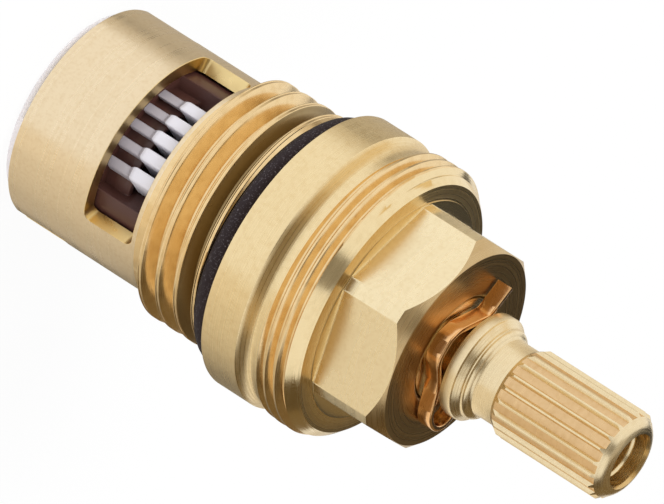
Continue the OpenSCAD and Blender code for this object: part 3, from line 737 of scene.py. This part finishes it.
def body_groups(s, columns):
    """Rows of the body, from the main bore outwards, up to the end face and back down inside."""
    bore, skirt, thread, relief = s.bore_d / 2, s.skirt_d / 2, s.thread_d / 2, s.relief_d / 2
    flange, groove, sleeve, neck = s.flange_d / 2, s.groove_d / 2, s.sleeve_d / 2, s.neck_d / 2
    face, journal = s.hex_face_d / 2, s.journal_bore_d / 2
    ease, skirt_ease = 0.12 * MM, 0.22 * MM
    # Lead-ins of the two threads and of the journal's bore
    lead, sleeve_lead, mouth = 0.6 * MM, 0.2 * MM, 0.3 * MM
    # Where the rows start in the bore, the land round the journal's bore and the foot's gap to the neck
    up_bore, land, inside_neck = 3 * MM, 1 * MM, 0.02 * MM
    turn = columns + math.degrees(s.hex_turn) - math.degrees(bpy.context.scene.cartridge_stage.azimuth)
    inlet_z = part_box("valve_body")[0].z
    skirt_rows = eased([(bore, inlet_z + up_bore), (bore, inlet_z), (skirt, inlet_z),
                        (skirt, s.thread_bottom)], skirt_ease)
    tap_rows = thread_rows(
        turn, s.thread_bottom, s.thread_top, s.thread_pitch, s.thread_crest, tap_thread_profile(s),
        ((s.thread_bottom, s.thread_bottom + lead, s.thread_top - s.thread_end, s.thread_top),
         (skirt, thread, thread, thread - s.thread_end)),
        ((s.thread_top - 2 * s.rim_w, s.thread_top - s.rim_w, s.thread_top),
         (thread - s.thread_depth, s.rim_d / 2, s.rim_d / 2)))
    flange_rows = eased([(relief + lead / 2, s.thread_top), (relief, s.thread_top), (relief, s.flange_bottom),
                         (flange, s.flange_bottom),
                         (flange, s.flange_top - flange + groove + s.groove_fillet)], ease)
    hollow_rows = [(groove + s.groove_fillet * (1 - t) ** 2, s.flange_top + s.groove_slope * t)
                   for t in np.linspace(0, 1, 12)] + [(groove, s.sleeve_bottom)]
    cut = s.sleeve_chamfer
    sleeve_rows = thread_rows(
        turn, s.sleeve_bottom, s.sleeve_top, s.sleeve_pitch, s.sleeve_crest, sleeve_thread_profile(s),
        ((s.sleeve_bottom, s.sleeve_bottom + sleeve_lead, s.sleeve_top - cut, s.sleeve_top),
         (sleeve - sleeve_lead, sleeve, sleeve, sleeve - cut)))
    neck_rows = eased([(sleeve - cut - ease, s.sleeve_top), (neck, s.sleeve_top), (neck, s.hex_bottom)], ease)
    from_flat = np.mod(columns, HEX_DEG) - HEX_DEG / 2
    hex_r = np.minimum(s.hex_corner_d / 2, s.hex_af / 2 / np.cos(np.radians(from_flat)))
    foot = np.minimum(s.hex_foot, neck - hex_r - inside_neck)
    hex_rows = [(hex_r + foot * (1 - math.sin(a)), s.hex_bottom + foot * (1 - math.cos(a)))
                for a in np.radians([0, 45, 90])]
    hex_rows.append((hex_r, s.hex_top - np.maximum(hex_r - face, 0) * math.tan(s.hex_chamfer)))
    inside = eased([(journal + land, s.hex_top), (journal + mouth, s.hex_top), (journal, s.hex_top - mouth),
                    (journal, s.shoulder_up), (bore, s.shoulder_up), (bore, s.window_bottom)], ease)
    return [(SKIRT, skirt_rows), (THREAD, tap_rows), (TURNED, flange_rows + hollow_rows),
            (THREAD, sleeve_rows), (TURNED, neck_rows), (DRAWN, hex_rows),
            (FACED, [(face, s.hex_top)] + inside[:3]), (TURNED, inside[3:])]


def make_valve_body(s, tints):
    columns = ring_columns(s)
    start_deg = math.degrees(s.hex_turn) + FRONT_DEG
    verts, faces, numbers = turned_mesh(columns, body_groups(s, columns), start_deg, True)
    finishes = [finish(tints) for finish in BODY_FINISHES]
    body = make_piece("valve_body_dressed", verts, faces, finishes, numbers, TURNED_SHARP_DEG)
    finish_threads(body, s)
    milled = milled_brass(tints)
    tools = [tool(s, side) for tool in (window_tool, slot_tool) for side in (0, math.pi)]
    combine(body, make_piece("body_cutters", *merged(tools), [milled]), "DIFFERENCE")
    stop = sector_form(s.stop_in_d / 2, s.bore_d / 2 + LAP, s.stop_bottom, s.shoulder_up + LAP,
                       math.pi - s.stop_half, math.pi + s.stop_half)
    combine(body, make_piece("body_stop", *stop, [milled]), "UNION")
    even_normals(body)
    settle(body, "housing", "valve_body")


def spline_radii(s, columns):
    """Radius of the spline by angle: narrow crests with broken edges, straight flanks and wide grooves."""
    pitch = FULL_TURN / s.spline_teeth
    off_crest = np.abs(np.mod(columns + pitch / 2, pitch) - pitch / 2)
    crest, root = s.spline_d / 2, s.spline_root_d / 2
    # Degrees from the middle of a crest to its end, to the end of its edge break and to the groove
    crest_end, edge_end, groove_start = 1, 1.5, 3.5
    edge = 0.04 * MM
    return np.interp(off_crest, (crest_end, edge_end, groove_start), (crest, crest - edge, root))


def spindle_rows(s, spline):
    """Rows of the spindle, from the thrust flange up to the tip and down into the screw hole."""
    journal, shank, thrust = s.journal_d / 2, s.shank_d / 2, s.thrust_d / 2
    ring_groove, clip_groove, lip = s.groove_d / 2, s.clip_groove_d / 2, s.bead_d / 2
    hole, sink, mouth = s.screw_d / 2, s.sink_d / 2, s.mouth_d / 2
    ease, shank_ease, hole_ease = 0.1 * MM, 0.2 * MM, 0.05 * MM
    drill_slope = math.radians(31)
    profile = [(0, s.thrust_bottom), (thrust, s.thrust_bottom), (thrust, s.thrust_top),
               (journal, s.thrust_top)]
    for z in (s.lower_ring, s.upper_ring):
        low, high = z - s.groove_w / 2, z + s.groove_w / 2
        profile += [(journal, low), (ring_groove, low), (ring_groove, high), (journal, high)]
    profile += [(journal, s.clip_groove_bottom), (clip_groove, s.clip_groove_bottom),
                (clip_groove, s.collar_bottom), (journal, s.collar_bottom)]
    cone = [(journal, s.collar_top - journal + lip), (lip, s.collar_top)]
    bevel = s.bead_h / 2
    bead = [(lip, s.collar_top + bevel), (lip - bevel, s.collar_top + 2 * bevel),
            (shank, s.collar_top + 3 * bevel)]
    rows = eased(profile + cone, ease)[:-1]
    rows += eased(cone + bead + [(shank, s.spline_bottom)], shank_ease)[1:]
    slopes = np.radians([45, 38, 31, 24, 17, 10])
    nose = [(sink + s.tip_round * (math.sin(a) - math.sin(slopes[-1])),
             s.spline_top + s.tip_round * (math.cos(a) - math.cos(slopes[-1]))) for a in slopes]
    lead_z = s.spline_bottom + (spline - shank) / (s.spline_d / 2 - shank) * s.spline_lead
    chamfer_z = nose[0][1] - (spline - nose[0][0])
    rows += [(spline, lead_z), (spline, chamfer_z)] + nose
    step_z, floor_z = s.spline_top - s.mouth_depth, s.spline_top - s.screw_depth
    rows += eased([(sink, s.spline_top), (mouth, s.spline_top - s.sink_h), (mouth, step_z),
                   (hole, step_z - (mouth - hole)), (hole, floor_z),
                   (0, floor_z - hole * math.tan(drill_slope))], hole_ease)[1:]
    return rows


def make_spindle(s, tints):
    step_deg, groove_number = 0.5, 1
    columns = np.arange(0, FULL_TURN + step_deg, step_deg)
    rows = spindle_rows(s, spline_radii(s, columns))
    verts, faces, numbers = turned_mesh(columns, [(0, rows)], 0, False)
    finish = spindle_brass(tints)
    finishes = [finish, groove_brass(tints)]
    spindle = make_piece("spindle_dressed", verts, faces, finishes, numbers, TURNED_SHARP_DEG)
    # Upright faces at the spline's root, outside the screw hole, are the grooves, and take the deeper gold of
    # painted shade
    groove_from, groove_to, upright = s.sink_d / 2, s.spline_root_d / 2 + 0.02 * MM, 0.3
    for face in spindle.data.polygons:
        above = face.center.z > s.spline_bottom
        if above and abs(face.normal.z) < upright and groove_from < face.center.xy.length < groove_to:
            face.material_index = groove_number
    sector = sector_form(s.thrust_d / 2 - 4 * LAP, s.sector_d / 2, s.thrust_bottom, s.thrust_top,
                         s.sector_from, s.sector_to)
    tang = box_form((-s.tang_w / 2, -s.tang_t / 2, s.tang_bottom),
                    (s.tang_w / 2, s.tang_t / 2, s.thrust_bottom + LAP))
    for name, form in (("spindle_sector", sector), ("spindle_tang", tang)):
        combine(spindle, make_piece(name, *form, [finish]), "UNION")
    even_normals(spindle)
    settle(spindle, "rotor", "spindle")


def make_ring(node, body, middle_d, cord, z, mould_line, material):
    """A moulded O-ring with its parting line at the outside and inside."""
    turns = np.radians(np.arange(0, FULL_TURN, 10))
    line = np.isclose(np.abs(np.cos(turns)), 1)
    radii = cord / 2 - mould_line + mould_line * line
    rows = [(middle_d / 2 + r * math.cos(t), z + r * math.sin(t)) for r, t in zip(radii, turns)]
    verts, faces, numbers = turned_mesh(np.arange(0, FULL_TURN + 1, 2.0), [(0, rows)], 0, True)
    ring = make_piece(f"{node}_moulded", verts, faces, [material], numbers, sharp_deg=60)
    settle(ring, body, node)


def make_rings(s, spindle, tints):
    rubber = black_rubber(tints)
    make_ring("body_o_ring", "housing", s.body_d, s.body_cord, s.body_z, s.mould_line, rubber)
    for place, z in (("lower", spindle.lower_ring), ("upper", spindle.upper_ring)):
        make_ring(f"spindle_o_ring_{place}", "rotor", s.spindle_ring_d, s.spindle_cord, z, s.mould_line,
                  rubber)


def fin_form(s, x):
    """Front of one fin: thin and set back on its inlet half, thick on its outlet half, with rounded edges."""
    front, weir = s.outer_d / 2, s.weir_d / 2
    start, stop = s.fin_thin_len - s.shoulder / 2, s.fin_thin_len + s.shoulder / 2
    heights = [0, s.round, *np.linspace(start, stop, 7), s.top - s.bottom - s.round, s.top - s.bottom]
    sections = []
    for h in heights:
        share = np.interp(h, (start, stop), (0, 1))
        half = (s.fin_thin_w + (s.fin_w - s.fin_thin_w) * (3 - 2 * share) * share ** 2) / 2
        reach = front - s.recess * (1 - share ** 0.5)
        loop = []
        for side in (-1, 1):
            edge = side * half
            corner = [(edge, -math.sqrt(weir ** 2 - (x + edge) ** 2))]
            for a in np.radians([0, 30, 60, 90]):
                cx = edge - side * s.round * (1 - math.cos(a))
                y_out = -math.sqrt(reach ** 2 - (x + cx) ** 2)
                corner.append((cx, y_out + s.round * (1 - math.sin(a))))
            loop += corner[::-side]
        sections.append([(x + px, py, s.bottom + h) for px, py in loop])
    return loft(sections)


def bar_form(s, z, front, y_in, half_w):
    """A bar across the fins, with a round front."""
    ways = np.linspace(-half_w, half_w, 25)
    outer = [(px, -math.sqrt(front ** 2 - px ** 2)) for px in ways]
    inner = [(px, y_in) for px in ways[::-1]]
    return loft([[(px, py, z + dz) for px, py in outer + inner] for dz in (0, s.bar)])


def make_combs(s, tints):
    plastics = [white_plastic(tints), fin_shade_plastic(tints)]
    first = -(s.fins - 1) / 2 * s.fin_pitch
    half_w = s.fin_w / 2 - first
    half = s.fin_w / 2 - LAP
    back = -half_w - LAP
    forms = []
    for i in range(s.fins):
        x = first + i * s.fin_pitch
        forms.append(fin_form(s, x))
        meet = -math.sqrt((s.weir_d / 2) ** 2 - (abs(x) + half) ** 2) - LAP
        forms.append(box_form((x - half, meet, s.bottom + s.fin_thin_len + LAP), (x + half, back, s.top)))
    forms.append(bar_form(s, s.top - s.bar, s.outer_d / 2 - LAP, back, half_w - s.round))
    verts, faces = merged(forms)
    for place, side in (("front", 1), ("rear", -1)):
        turned = [(side * x, side * y, z) for x, y, z in verts]
        comb = make_piece(f"flow_comb_{place}_moulded", turned, faces, plastics, sharp_deg=40)
        # The thin halves take the grey plastic of painted shade
        for face in comb.data.polygons:
            face.material_index = int(face.center.z < s.bottom + s.fin_thin_len)
        settle(comb, "rotor", f"flow_comb_{place}")


# Bends of the clip's middle line seen from above, in millimetres: the tab, the bow at the front and the loop
CLIP_BENDS = (
    (-6.3, -0.45), (-4.1, -0.9), (-3.55, -1.05), (-1.45, -4.2), (-0.55, -4.72), (1.1, -4.6), (1.65, -4.15),
    (2.75, -2.45), (3.3, -1.85), (5.2, -0.4), (5.6, 0.05), (5.88, 0.7), (5.97, 1.4), (5.85, 2.05),
    (5.45, 2.6), (4.85, 2.9), (4.1, 2.95), (2.6, 3.15), (1.7, 3.4),
)
# Degrees round the back of the spindle, where the strip ends
CLIP_BACK = (0, 12, 24, 36, 48)


def clip_line(s):
    """Middle line of the strip seen from above, with its bends rounded."""
    bend, blend = 0.25 * MM, 0.08 * MM
    points = [(x * MM, y * MM) for x, y in CLIP_BENDS]
    points += [(-s.grip_r * math.sin(a), s.grip_r * math.cos(a)) for a in np.radians(CLIP_BACK)]
    return np.array(eased(eased(points, bend), blend))


def strip_section(s):
    """Points round the strip's section, as ways through the strip and along the axis."""
    r = s.strip_round
    x, z = s.strip_t / 2 - r, s.strip_w / 2 - r
    quarter = np.array([0, 30, 60, 90])
    section = []
    for cx, cz, first in ((x, z, 0), (-x, z, 90), (-x, -z, 180), (x, -z, 270)):
        section += [(cx + r * math.cos(a), cz + r * math.sin(a)) for a in np.radians(first + quarter)]
    return section


def make_clip(s, hex_turn, tints):
    line = clip_line(s)
    along = np.gradient(line, axis=0)
    along /= np.linalg.norm(along, axis=1)[:, None]
    sideways = np.stack([-along[:, 1], along[:, 0]], axis=1)
    spin = Matrix.Rotation(hex_turn, 4, "Z")
    mid = s.bottom + s.strip_w / 2
    section = strip_section(s)
    sections = [[tuple(spin @ Vector((*(point + t * side), mid + w))) for t, w in section]
                for point, side in zip(line, sideways)]
    clip = make_piece("retaining_clip_bent", *loft(sections), [spring_bronze(tints)], sharp_deg=35)
    even_normals(clip)
    settle(clip, "rotor", "retaining_clip")


class DressBody(bpy.types.Operator):
    """Makes the brass body with its threads, windows and hexagon"""
    bl_idname = "cartridge.dress_body"
    bl_label = "Valve body"

    def execute(self, context):
        make_valve_body(context.scene.cartridge_body, context.scene.cartridge_finishes)
        return {"FINISHED"}


class DressSpindle(bpy.types.Operator):
    """Makes the spindle with its collar and spline"""
    bl_idname = "cartridge.dress_spindle"
    bl_label = "Spindle"

    def execute(self, context):
        make_spindle(context.scene.cartridge_spindle, context.scene.cartridge_finishes)
        return {"FINISHED"}


class DressRings(bpy.types.Operator):
    """Makes the three O-rings"""
    bl_idname = "cartridge.dress_rings"
    bl_label = "O-rings"

    def execute(self, context):
        scene = context.scene
        make_rings(scene.cartridge_rings, scene.cartridge_spindle, scene.cartridge_finishes)
        return {"FINISHED"}


class DressSeal(bpy.types.Operator):
    """Rounds the inlet seal and its support ring"""
    bl_idname = "cartridge.dress_seal"
    bl_label = "Inlet seal"

    def execute(self, context):
        s, tints = context.scene.cartridge_edges, context.scene.cartridge_finishes
        seal = eased_copy("inlet_seal", "inlet_seal_moulded", seal_rubber(tints), s.seal, 3)
        settle(seal, "housing", "inlet_seal")
        ring = eased_copy("seal_support_ring", "seal_support_ring_moulded", grey_plastic(tints), s.support)
        settle(ring, "housing", "seal_support_ring")
        return {"FINISHED"}


class DressDiscs(bpy.types.Operator):
    """Eases the edges of the ceramic discs and the thrust washer"""
    bl_idname = "cartridge.dress_discs"
    bl_label = "Discs and washer"

    def execute(self, context):
        s, tints = context.scene.cartridge_edges, context.scene.cartridge_finishes
        ceramic = alumina(tints)
        for node, body in (("fixed_disc", "housing"), ("moving_disc", "rotor")):
            settle(eased_copy(node, f"{node}_lapped", ceramic, s.disc), body, node)
        washer = eased_copy("thrust_washer", "thrust_washer_cut", slip_plastic(tints), s.washer)
        settle(washer, "housing", "thrust_washer")
        return {"FINISHED"}


class DressDriver(bpy.types.Operator):
    """Rounds the edges of the driver"""
    bl_idname = "cartridge.dress_driver"
    bl_label = "Driver"

    def execute(self, context):
        s, tints = context.scene.cartridge_edges, context.scene.cartridge_finishes
        # The ledge before each weir lies low, so that the fins reach down behind the window's edge
        driver = eased_copy("disc_driver", "disc_driver_moulded", brown_plastic(tints), s.driver, 3,
                            [(s.ledge, s.low_ledge)], s.low_ledge + LEVEL)
        settle(driver, "rotor", "disc_driver")
        return {"FINISHED"}


class DressCombs(bpy.types.Operator):
    """Makes the two flow combs"""
    bl_idname = "cartridge.dress_combs"
    bl_label = "Flow combs"

    def execute(self, context):
        make_combs(context.scene.cartridge_combs, context.scene.cartridge_finishes)
        return {"FINISHED"}


class DressClip(bpy.types.Operator):
    """Bends the retaining clip from strip"""
    bl_idname = "cartridge.dress_clip"
    bl_label = "Retaining clip"

    def execute(self, context):
        scene = context.scene
        make_clip(scene.cartridge_clip, scene.cartridge_body.hex_turn, scene.cartridge_finishes)
        return {"FINISHED"}


# Stage

WHITE = (1, 1, 1, 1)
# Lamps: name, place and diameter in metres, and power in watts
LAMPS = (
    ("key_lamp", (-0.35, -0.45, 0.6), 0.5, 4),
    ("fill_lamp", (0.5, -0.4, 0.35), 0.5, 1.5),
)
LAMP_AIM = (0, 0, 0.03)
# Flags on the floor round the part: from and to, in degrees round the axis from the camera, and their levels
# in the zones that the skirt, the flange, the collar and the spline mirror
FLOOR_FLAGS = (
    (-180, -150, (0.5, 0.5, 0.6, 0.8)),
    (-150, -128, (0.53, 0.52, 0.54, 0.8)),
    (-128, -119, (0.55, 0.55, 0.52, 0.8)),
    (-119, -108, (0.34, 0.34, 0.45, 0.8)),
    (-108, -92, (0.66, 0.7, 0.75, 0.85)),
    (40, 65, (0.9, 0.88, 0.78, 0.92)),
    (65, 90, (0.76, 0.74, 0.74, 0.9)),
    (90, 110, (0.68, 0.62, 0.5, 0.9)),
    (110, 130, (0.56, 0.44, 0.18, 1.0)),
    (130, 150, (0.54, 0.22, 0.1, 0.95)),
    (150, 180, (0.2, 0.22, 0.2, 0.7)),
)
# Distances from the part where those zones begin and end, in metres
FLAG_ZONES = (0.0, 0.028, 0.075, 0.098, 0.4)
# Flags behind and over the part: from and to, in degrees up from the back, their level
# and half their width in metres
BACK_FLAGS = (
    (4, 25, 0.05, 0.14),
    (25, 48, 0.05, 0.14),
    (48, 70, 0.3, 0.14),
    (70, 95, 0.55, 0.1),
    (95, 130, 0.28, 0.05),
)
# Warm grey of those flags at full level, and the two golds of the flags before the part
FLAG_TINT = (1.0, 0.92, 0.79)
GOLD, PALE_GOLD = (1.0, 0.72, 0.36), (1.0, 0.82, 0.54)
# Flags before the part: from and to, in degrees round from the camera, how far up they reach, level and tint
FRONT_FLAGS = (
    (-120, -85, 28, 0.84, PALE_GOLD),
    (-85, -50, 40, 0.84, PALE_GOLD),
    (-50, -25, 46, 0.53, GOLD),
    (-25, 12, 52, 0.2, GOLD),
    (12, 50, 50, 0.22, GOLD),
    (50, 75, 42, 0.55, GOLD),
    (75, 105, 34, 0.12, GOLD),
    (105, 130, 78, 0.12, GOLD),
    (130, 152, 78, 0.2, GOLD),
    (152, 175, 78, 0.2, GOLD),
)
# How far up those flags begin, in degrees
FRONT_FOOT = 2
# Distance of the flags behind and before the part, in metres
FLAG_AWAY = 0.3


def direction(turn, rise=0):
    """The way that points at an angle round the axis and an angle up."""
    return Vector((math.cos(turn) * math.cos(rise), math.sin(turn) * math.cos(rise), math.sin(rise)))


def white_mix(tree, plain, white, share):
    """Mixes the plain shader with white for the rays that show the background."""
    rays = add(tree, "ShaderNodeLightPath")
    seen = rays.outputs["Is Camera Ray"]
    for ray in ("Is Glossy Ray", "Is Transmission Ray"):
        seen = add(tree, "ShaderNodeMath", {0: seen, 1: rays.outputs[ray]}, operation="MAXIMUM").outputs[0]
    part = add(tree, "ShaderNodeMath", {0: seen, 1: share}, operation="MULTIPLY").outputs[0]
    return add(tree, "ShaderNodeMixShader", {0: part, 1: plain.outputs[0], 2: white.outputs[0]}).outputs[0]


def make_world():
    world = bpy.data.worlds.new("white_tent")
    bpy.context.scene.world = world
    world.use_nodes = True
    tree = world.node_tree
    tree.nodes.clear()
    soft = add(tree, "ShaderNodeBackground", {"Color": WHITE, "Strength": 0.7})
    white = add(tree, "ShaderNodeBackground", {"Color": WHITE, "Strength": 1.0})
    add(tree, "ShaderNodeOutputWorld", {0: white_mix(tree, soft, white, 1.0)})


def bare_material(name):
    """A new material with no nodes."""
    material = bpy.data.materials.new(name)
    material.use_nodes = True
    material.node_tree.nodes.clear()
    return material


def make_sheet(name, corners, material):
    """A flat sheet of the stage."""
    mesh = bpy.data.meshes.new(name)
    mesh.from_pydata(corners, [], [tuple(range(len(corners)))])
    mesh.materials.append(material)
    return put(name, mesh)


def make_floor():
    half_w, drop, white_share = 3.0, 0.02 * MM, 0.93
    material = bare_material("floor_white_paper")
    tree = material.node_tree
    paper = add(tree, "ShaderNodeBsdfDiffuse", {"Color": (0.9, 0.9, 0.9, 1)})
    glow = add(tree, "ShaderNodeEmission", {"Color": WHITE, "Strength": 1.0})
    add(tree, "ShaderNodeOutputMaterial", {0: white_mix(tree, paper, glow, white_share)})
    corners = [(x * half_w, y * half_w, 0) for x, y in ((-1, -1), (1, -1), (1, 1), (-1, 1))]
    floor = make_sheet("floor", corners, material)
    floor.location.z = -drop


def make_lamp(name, place, size, power):
    lamp = bpy.data.lights.new(name, "AREA")
    lamp.shape = "DISK"
    lamp.size = size
    lamp.energy = power
    obj = put(name, lamp)
    obj.location = place
    obj.visible_glossy = False
    obj.rotation_mode = "QUATERNION"
    obj.rotation_quaternion = (Vector(place) - Vector(LAMP_AIM)).to_track_quat("Z", "Y")


def make_flag(name, corners, level, tint=FLAG_TINT):
    """A card that only reflections see."""
    material = bare_material(name)
    tree = material.node_tree
    glow = add(tree, "ShaderNodeEmission", {"Color": (*(c * level for c in tint), 1), "Strength": 1.0})
    add(tree, "ShaderNodeOutputMaterial", {0: glow.outputs[0]})
    card = make_sheet(name, corners, material)
    card.visible_camera = False
    card.visible_diffuse = False
    card.visible_shadow = False


def make_flags(s):
    front = s.azimuth + FRONT
    near, lift = 9.4 * MM, Vector((0, 0, 0.05 * MM))
    for start, stop, levels in FLOOR_FLAGS:
        turns = np.radians(np.linspace(start, stop, 6))
        # A round side mirrors the floor along a line that leaves it at half the flag's angle
        feet = [direction(front + a / 2) * near + lift for a in turns]
        ways = [direction(front + a) for a in turns]
        rims = [[foot + way * away for foot, way in zip(feet, ways)] for away in FLAG_ZONES]
        for zone, level in enumerate(levels):
            make_flag(f"floor_flag_{start}_{zone}", rims[zone] + rims[zone + 1][::-1], level)
    middle = Vector((0, 0, s.aim_z))
    for start, stop, level, half_w in BACK_FLAGS:
        side = direction(front + math.pi / 2) * half_w
        low, high = (middle + direction(front + math.pi, math.radians(e)) * FLAG_AWAY for e in (start, stop))
        make_flag(f"back_flag_{start}", [low - side, low + side, high + side, high - side], level)
    for start, stop, rise, level, tint in FRONT_FLAGS:
        corners = ((start, FRONT_FOOT), (stop, FRONT_FOOT), (stop, rise), (start, rise))
        ways = [direction(front + math.radians(a), math.radians(e)) for a, e in corners]
        make_flag(f"front_flag_{start}", [middle + way * FLAG_AWAY for way in ways], level, tint)


def make_camera(s):
    back = direction(s.azimuth + FRONT, s.elevation)
    across = direction(s.azimuth)
    axis = (Vector((0, 0, 1)) - back * back.z).normalized()
    right = axis * math.cos(s.axis_fall) - across * math.sin(s.axis_fall)
    up = -axis * math.sin(s.axis_fall) - across * math.cos(s.axis_fall)
    data = bpy.data.cameras.new("camera")
    data.sensor_width = 36
    data.lens = data.sensor_width * s.distance / s.frame_w
    data.clip_end = 10
    camera = put("camera", data)
    aim = Vector((0, 0, s.aim_z)) + across * s.aim_side
    turned = Matrix((right, up, back)).transposed().to_4x4()
    camera.matrix_world = Matrix.Translation(aim + back * s.distance) @ turned
    bpy.context.scene.camera = camera


class BuildStage(bpy.types.Operator):
    """Sets the floor, the world, the lamps, the cards and the camera"""
    bl_idname = "cartridge.build_stage"
    bl_label = "Stage"

    def execute(self, context):
        scene = context.scene
        scene.view_settings.view_transform = "Standard"
        make_world()
        make_floor()
        for lamp in LAMPS:
            make_lamp(*lamp)
        make_flags(scene.cartridge_stage)
        make_camera(scene.cartridge_stage)
        return {"FINISHED"}


class CartridgePanel(bpy.types.Panel):
    """Lists the pieces and the stage"""
    bl_idname = "CARTRIDGE_PT_panel"
    bl_label = "Tap cartridge"
    bl_space_type = "VIEW_3D"
    bl_region_type = "UI"
    bl_category = "Cartridge"

    def draw(self, context):
        for operator in STEPS:
            self.layout.operator(operator.bl_idname)
        for name in GROUPS:
            settings = getattr(context.scene, name)
            box = self.layout.box()
            for key in settings.bl_rna.properties.keys():
                if key not in {"rna_type", "name"}:
                    box.prop(settings, key)


GROUPS = {
    "cartridge_body": BodySizes,
    "cartridge_spindle": SpindleSizes,
    "cartridge_rings": RingSizes,
    "cartridge_combs": CombSizes,
    "cartridge_clip": ClipSizes,
    "cartridge_edges": EdgeSizes,
    "cartridge_finishes": Finishes,
    "cartridge_stage": StageSettings,
}
STEPS = (DressBody, DressSpindle, DressRings, DressSeal, DressDiscs, DressDriver, DressCombs, DressClip,
         BuildStage)


def register():
    for cls in (*GROUPS.values(), *STEPS, CartridgePanel):
        bpy.utils.register_class(cls)
    for name, group in GROUPS.items():
        setattr(bpy.types.Scene, name, PointerProperty(type=group))


def unregister():
    for name in GROUPS:
        delattr(bpy.types.Scene, name)
    for cls in reversed((*GROUPS.values(), *STEPS, CartridgePanel)):
        bpy.utils.unregister_class(cls)


def main():
    register()
    bpy.ops.cartridge.dress_body()
    bpy.ops.cartridge.dress_spindle()
    bpy.ops.cartridge.dress_rings()
    bpy.ops.cartridge.dress_seal()
    bpy.ops.cartridge.dress_discs()
    bpy.ops.cartridge.dress_driver()
    bpy.ops.cartridge.dress_combs()
    bpy.ops.cartridge.dress_clip()
    bpy.ops.cartridge.build_stage()


if __name__ == "__main__":
    main()
